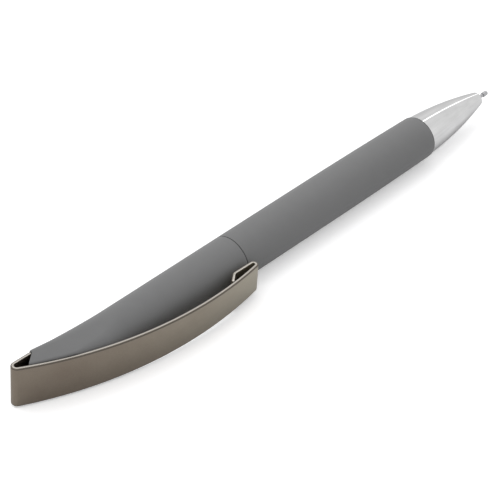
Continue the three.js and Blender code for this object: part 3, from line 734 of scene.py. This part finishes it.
def side_line(offset_out):
    line = []
    for centre, radius, start, end, steps in arcs:
        line += arc(centre, radius + offset_out, start, end, steps)[0 if not line else 1:]
    line.insert(0, Vector((LEG_SHOULDER, line[0].y)))
    line.append(line[-1] + heading * lip_run)
    return line


def strap_width(x):
    return STRAP_FRONT_WIDTH + (STRAP_REAR_WIDTH - STRAP_FRONT_WIDTH) * x / rear_fold_x


bm = bmesh.new()
chains = []
for offset_out in (HALF, -HALF):
    chain = [bm.verts.new((point.x, -point.y, 0)) for point in side_line(offset_out)]
    chains += [bm.edges.new(pair) for pair in zip(chain, chain[1:])]
bmesh.ops.bridge_loops(bm, edges=chains)
print("ribbon of", len(bm.faces), "faces")

# %% Pushing the ribbon out to the strap's width
for vert in bm.verts:
    vert.co.z = -strap_width(vert.co.x) / 2
for vert in extruded(bm, bm.faces[:]):
    vert.co.z = -vert.co.z
bmesh.ops.recalc_face_normals(bm, faces=bm.faces)
rims = [face for face in bm.faces if abs(face.normal.z) > 0.9]
for face in rims:
    face.material_index = 1
print("rim faces:", len(rims))

# %% [markdown]
# In the barrel the strap narrows to its tongue. The short leg is cut lengthwise by two planes, and
# the middle one of the three faces on its end is extruded forwards into the pocket.

# %% Tongue inside the barrel
TONGUE_HALF = 3.7
TONGUE_FRONT = POCKET_FRONT - 0.5
LEG_DEPTH = 3
LEG_FRONT = WEDGE_REAR + 5


def in_leg(face):
    return all(vert.co.x < LEG_FRONT and vert.co.y > LEG_DEPTH for vert in face.verts)


for side in (-1, 1):
    leg = [face for face in bm.faces if in_leg(face)]
    parts = list({part for face in leg for part in (*face.verts, *face.edges, face)})
    bmesh.ops.bisect_plane(
        bm, geom=parts, dist=ON_PLANE, plane_co=(0, 0, side * TONGUE_HALF), plane_no=(0, 0, 1)
    )
stub = [
    face for face in bm.faces
    if face.normal.x > 0.9
    and abs(face.calc_center_median().z) < 1
    and face.calc_center_median().y > LEG_DEPTH
]
tongue = extruded(bm, stub, keep=False)
bmesh.ops.translate(bm, vec=(TONGUE_FRONT - LEG_SHOULDER, 0, 0), verts=tongue)
print("tongue faces started from", len(stub))

# %% [markdown]
# A stamped strap has rounder edges on the side that the die pressed in and sharper ones on the
# other. The outer rounding is wide and has a darker finish, which is painted shade, and the inner
# one is small and belongs to the polished rim.

# %% Rounded rims
OUTER_ROUND = 0.27
INNER_ROUND = 0.08
outer_places = {(round(point.x, 3), round(-point.y, 3)) for point in side_line(HALF)}


def on_outer_face(edge):
    return all((round(vert.co.x, 3), round(vert.co.y, 3)) in outer_places for vert in edge.verts)


def at_rim(edge):
    return {face.material_index for face in edge.link_faces} == {0, 1}


# The outer rounding takes the third finish, whose darker colour is painted shade.
for outer, width, segments, finish_index in ((True, OUTER_ROUND, 4, 2), (False, INNER_ROUND, 2, 1)):
    long_edges = [edge for edge in bm.edges if at_rim(edge) and on_outer_face(edge) == outer]
    round_edges(bm, long_edges, width, segments, finish_index)
    print("rounded", len(long_edges), "edges by", width, "mm")
strap = piece("clip_strap", bm, "strap", strap_metal, edge_metal, painted_shade_shoulder_metal, crease=25)

# %% [markdown]
# Two stakes of the black block in the pocket come through holes in the tongue. The strap is one
# piece, but its rear leg belongs to the barrel and its arm to the clip.

# %% Holes for the stakes, and the model's two clip parts hidden
STAKE = 0.8
STAKE_SLACK = 0.05

bm = bmesh.new()
for place in (TONGUE_FRONT - 1.9, TONGUE_FRONT - 4.9):
    bmesh.ops.create_cone(
        bm, cap_ends=True, radius1=STAKE + STAKE_SLACK, radius2=STAKE + STAKE_SLACK,
        depth=4 * STRAP, segments=32,
        matrix=Matrix.Translation((place, -LEG_LIFT, 0)) @ Matrix.Rotation(pi / 2, 4, "X"),
    )
cut_with(strap, bm)


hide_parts("clip_root", "clip_arm")
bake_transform(strap)

# %% [markdown]
# The nose is a long ogive. Its outline is one arc of a very large circle from the barrel to the
# small flat rim that the point comes through, so it is spun from an arc. A narrow groove parts it
# from the barrel, which hides how well the two diameters agree. Inside it is bored in steps: wide
# for the refill, narrower for the spring, and narrow again round the point.

# %% Nose's sizes
NOSE_END = FRONT_END + 21.4
NOSE_BASE = 4.75
NOSE_RIM = 1.6
NOSE_RIM_EASE = 0.2
NOSE_CURVE = 105.0
NOSE_STEPS = 40
GROOVE = 0.2
POINT = NOSE_END + 3.7
NECK_START = POINT - 22
NECK_SLACK = 0.1
NECK_END = POINT - 9
REFILL_BORE = 3.05
SPRING_BORE = 2.55
SPRING_SEAT = NOSE_END - 7.3
THROAT = 1.8
THROAT_END = SPRING_SEAT + 3.8
THROAT_TAPER = 0.55
MOUTH = 1.25
MOUTH_EASE = 0.06
TAIL = FRONT_END - 7
TAIL_RADIUS = 3.7

start, end = Vector((FRONT_END + 0.05, NOSE_BASE)), Vector((NOSE_END, NOSE_RIM))
chord = end - start
nose_centre = (start + end) / 2 + Vector((chord.y, -chord.x)).normalized() * sqrt(
    NOSE_CURVE**2 - chord.length_squared / 4
)
print("nose from", round(start.x, 2), "to", round(end.x, 2), "point out to", round(POINT, 2))

# %% Nose
from_turn, to_turn = (degrees(atan2(*(point - nose_centre).yx)) for point in (start, end))
outline = [tuple(point) for point in arc(nose_centre, NOSE_CURVE, from_turn, to_turn, NOSE_STEPS)]
inside = [
    (TAIL, REFILL_BORE), (NECK_START + NECK_SLACK, REFILL_BORE),
    (NECK_START + NECK_SLACK, SPRING_BORE), (SPRING_SEAT, SPRING_BORE),
    (SPRING_SEAT, THROAT), (THROAT_END, THROAT),
    (THROAT_END + THROAT_TAPER, MOUTH), (NOSE_END, MOUTH),
]
groove = [
    (start.x + GROOVE, start.y), (start.x + GROOVE, start.y - GROOVE),
    (start.x, start.y - GROOVE), (start.x, TAIL_RADIUS),
]
bm = turned([*inside, *outline[:0:-1], *groove, (TAIL, TAIL_RADIUS)], steps=160)
ease(bm, [(NOSE_END, NOSE_RIM)], NOSE_RIM_EASE, segments=5)
ease(bm, [(NOSE_END, MOUTH)], MOUTH_EASE)
nose = piece("nose_ogive", bm, "chrome", nose_chrome, crease=40)
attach(nose, "front")
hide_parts("nose_cone")

# %% [markdown]
# The writing point is a turned steel tip: a cone, a thin neck and a collar that holds a hard ball.
# On the pen it is no thicker than a pin, but it is the first thing that a hand looks for, so its
# edges are eased too.

# %% Writing point
BALL = 0.35
BALL_GAP = 0.03
TIP_BORE = 0.2
TIP_RIM = 0.43
TIP_RIM_X = POINT - 0.22
COLLAR = 0.575
COLLAR_FRONT = TIP_RIM_X - 0.2
COLLAR_REAR = POINT - 1.7
COLLAR_EASE = 0.05
NECK = 0.4
NECK_REAR = POINT - 2.4
CONE = 1.1
CONE_FRONT = POINT - 3.8
CONE_EASE = 0.15
SHANK = 1.2
SHANK_REAR = NECK_END - 4
ball_x = POINT - BALL
socket_radius = BALL + BALL_GAP
lip_radius = sqrt(BALL**2 - (TIP_RIM_X - ball_x) ** 2) + BALL_GAP
point_profile = [
    (SHANK_REAR, TIP_BORE), (ball_x - socket_radius - 0.1, TIP_BORE),
    (ball_x - BALL / 2, socket_radius), (TIP_RIM_X - 0.05, socket_radius),
    (TIP_RIM_X, lip_radius), (TIP_RIM_X, TIP_RIM),
    (COLLAR_FRONT, COLLAR), (COLLAR_REAR, COLLAR),
    (COLLAR_REAR, NECK), (NECK_REAR, NECK),
    (CONE_FRONT, CONE), (NECK_END, CONE),
    (NECK_END, SHANK), (SHANK_REAR, SHANK),
]
bm = turned(point_profile, steps=64)
ease(bm, [(COLLAR_FRONT, COLLAR), (COLLAR_REAR, COLLAR)], COLLAR_EASE)
ease(bm, [(CONE_FRONT, CONE)], CONE_EASE)
point_tip = piece("writing_point", bm, "steel", inner["turned_steel"])
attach(point_tip, "refill")
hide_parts("refill_point")

# %% Ball
bm = bmesh.new()
bmesh.ops.create_uvsphere(
    bm, u_segments=32, v_segments=16, radius=BALL,
    matrix=Matrix.Translation((ball_x, 0, 0)) @ quarter,
)
ball = piece("writing_ball", bm, "carbide", inner["carbide"])
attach(ball, "refill")
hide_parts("ball")

# %% [markdown]
# The return spring is a wound wire with one closed turn at each end. A spin that also moves along
# its axis is a screw, so a small circle is screwed three times: a tight turn, seven open turns and
# a tight turn. Its rear end moves with the refill and its front end stays in the nose.

# %% Return spring
WIRE = 0.4
SPRING_WIDTH = 4.7
COIL = SPRING_WIDTH / 2 - WIRE / 2
SPRING_START = NECK_START + 0.3
SPRING_END = SPRING_SEAT - 0.3
TURNS = 9
CLOSED_PITCH = 0.44
TURN_STEPS = 36
open_pitch = (SPRING_END - SPRING_START - 2 * CLOSED_PITCH) / (TURNS - 2)

bm = bmesh.new()
bmesh.ops.create_circle(
    bm, cap_ends=False, radius=WIRE / 2, segments=12,
    matrix=Matrix.Translation((SPRING_START, COIL, 0)),
)
moving = bm.verts[:] + bm.edges[:]
for turns, pitch in ((1, CLOSED_PITCH), (TURNS - 2, open_pitch), (1, CLOSED_PITCH)):
    moving = bmesh.ops.spin(
        bm, geom=moving, axis=(1, 0, 0), cent=(0, 0, 0), dvec=(pitch / TURN_STEPS, 0, 0),
        angle=2 * pi * turns, steps=turns * TURN_STEPS,
    )["geom_last"]
bmesh.ops.holes_fill(bm, edges=[edge for edge in bm.edges if edge.is_boundary])
bmesh.ops.recalc_face_normals(bm, faces=bm.faces)
spring = piece("return_spring_coil", bm, "steel", inner["spring_steel"], crease=50)
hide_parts("refill_spring")
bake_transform(spring)

# %% [markdown]
# The parts inside keep the model's own shapes, which are right as they are. Each only gets a finish
# in place of the plain one that it came with.

# %% Finishes of the parts that stay
STAYING = {
    "brass": ["nose_bush", "front_coupling", "rear_bush"],
    "steel": ["guide_sleeve", "retaining_ring", "cam_rotor", "slider_pin", "refill_tube"],
    "black_plastic": ["rotor_cap", "clip_anchor"],
    "white_plastic": ["slider", "refill_crown"],
    "rubber": ["friction_ring"],
    "ink": ["ink"],
    "grease": ["ink_follower"],
}
for finish_name, names in STAYING.items():
    for name in names:
        for slot in frame["nodes"][name].material_slots:
            slot.material = inner[finish_name]
print("dressed", sum(len(names) for names in STAYING.values()), "parts of the model")

# %% [markdown]
# The camera stands where the photographer's did, half a metre away with a long lens, looking down
# over the rear end of the pen. Its directions are written in the pen's own axes: along the barrel,
# out towards the clip, and across the clip. Its place follows from where the seam's centre is seen,
# which is given in barrel diameters.

# %% Camera
DIAMETER = 2 * BARREL * MM
SENSOR_MM = 36
FOCAL_PIXELS = 2400
FRAME_PIXELS = 500
SEAM_ASIDE, SEAM_ABOVE, SEAM_AHEAD = -0.3934, -0.1730, 47.855


def in_pen_axes(x, lift, z):
    return along * x - away * lift + across * z


forward = in_pen_axes(0.5874, -0.4969, -0.6388).normalized()
right = in_pen_axes(0.6785, 0.7326, 0.0540)
right = (right - forward * right.dot(forward)).normalized()
up = right.cross(forward)
camera_data = bpy.data.cameras.new("camera")
camera_data.sensor_width = SENSOR_MM
camera_data.lens = SENSOR_MM * FOCAL_PIXELS / FRAME_PIXELS
camera = bpy.data.objects.new("camera", camera_data)
bpy.context.scene.collection.objects.link(camera)
from_camera = DIAMETER * (SEAM_ASIDE * right + SEAM_ABOVE * up + SEAM_AHEAD * forward)
turn = Matrix((right, up, -forward)).transposed().to_4x4()
camera.matrix_world = Matrix.Translation(seam_centre - from_camera) @ turn
bpy.context.scene.camera = camera
print("camera at", [round(value, 3) for value in camera.matrix_world.translation])

# %% [markdown]
# The photograph has a white ground with a soft shadow. The floor is a pale sheet that scatters the
# light that falls on it and adds a little of its own where it is seen or mirrored, which lifts it
# to white away from the pen and keeps the shadow next to it. As a source of light it would flatten
# the pen's shading, so its colour is paler where it is seen or mirrored than where it lights the
# pen. The world is white too, and dimmer as a light.

# %% Floor and world
WHITE = (1.0, 1.0, 1.0)
FLOOR_AS_SEEN = (0.94, 0.94, 0.945)
FLOOR_AS_LIGHT = (0.64, 0.64, 0.645)
FLOOR_SIZE = 2
FILL = 0.82


def kinds_of_ray(finish):
    """Masks for what the camera sees straight, and for what it sees mirrored or through glass."""
    seen, mirrored, passed = (
        finish.node("ShaderNodeLightPath", {}, {}, output=name)
        for name in ("Is Camera Ray", "Is Glossy Ray", "Is Transmission Ray")
    )
    return seen, mirrored + passed


bm = bmesh.new()
bmesh.ops.create_grid(bm, x_segments=1, y_segments=1, size=FLOOR_SIZE)
floor = new_object("floor", bm)
finish = new_finish("pale_floor")
seen, mirrored = kinds_of_ray(finish)
floor.data.materials.append(finish.surface({
    "Base Color": tint(finish, seen + 0.8 * mirrored, FLOOR_AS_LIGHT, FLOOR_AS_SEEN),
    "Roughness": 0.9,
    "Specular IOR Level": 0.0,
    "Emission Color": WHITE,
    "Emission Strength": 0.32 * seen + 0.04 * mirrored,
}))

world = bpy.data.worlds.new("studio")
bpy.context.scene.world = world
finish = Finish(world)
seen, mirrored = kinds_of_ray(finish)
strength = FILL + (1 - FILL) * (seen + mirrored)
sky = finish.node("ShaderNodeBackground", {}, {"Color": WHITE, "Strength": strength})
finish.output(sky, "ShaderNodeOutputWorld")
print("floor of", 2 * FLOOR_SIZE, "m and a white world at", FILL)

# %% [markdown]
# One broad soft light stands high up behind the pen. It shades the barrel from its back to its
# lower side and throws the shadow forwards. A narrow strip beyond the tip is there for the chrome:
# the long bright line on the nose is its mirror image. The watts a lamp needs grow with the square
# of its distance, so each is given by a level instead: how bright it alone would render a white
# sheet that faces it from the middle of the table.

# %% Lamps
def soft_box(name, direction, distance, size, level):
    lamp = bpy.data.lights.new(name, "AREA")
    lamp.shape = "RECTANGLE"
    lamp.size, lamp.size_y = size
    lamp.energy = level * pi * pi * distance**2
    made = bpy.data.objects.new(name, lamp)
    bpy.context.scene.collection.objects.link(made)
    place = Vector(direction).normalized() * distance
    turn = place.to_track_quat("Z", "Y").to_matrix().to_4x4()
    made.matrix_world = Matrix.Translation(place) @ turn
    print(name, "at", [round(value, 2) for value in place], "watts", round(lamp.energy, 2))


soft_box("top_box", direction=(-0.15, 0.45, 0.88), distance=0.9, size=(1.1, 0.9), level=0.41)
soft_box("strip_box", direction=(0.72, 0.23, 0.65), distance=0.9, size=(0.06, 1.2), level=0.05)

# %% [markdown]
# The Standard view shows a colour about as it is written, which suits an object on white.

# %% Colour
bpy.context.scene.view_settings.view_transform = "Standard"
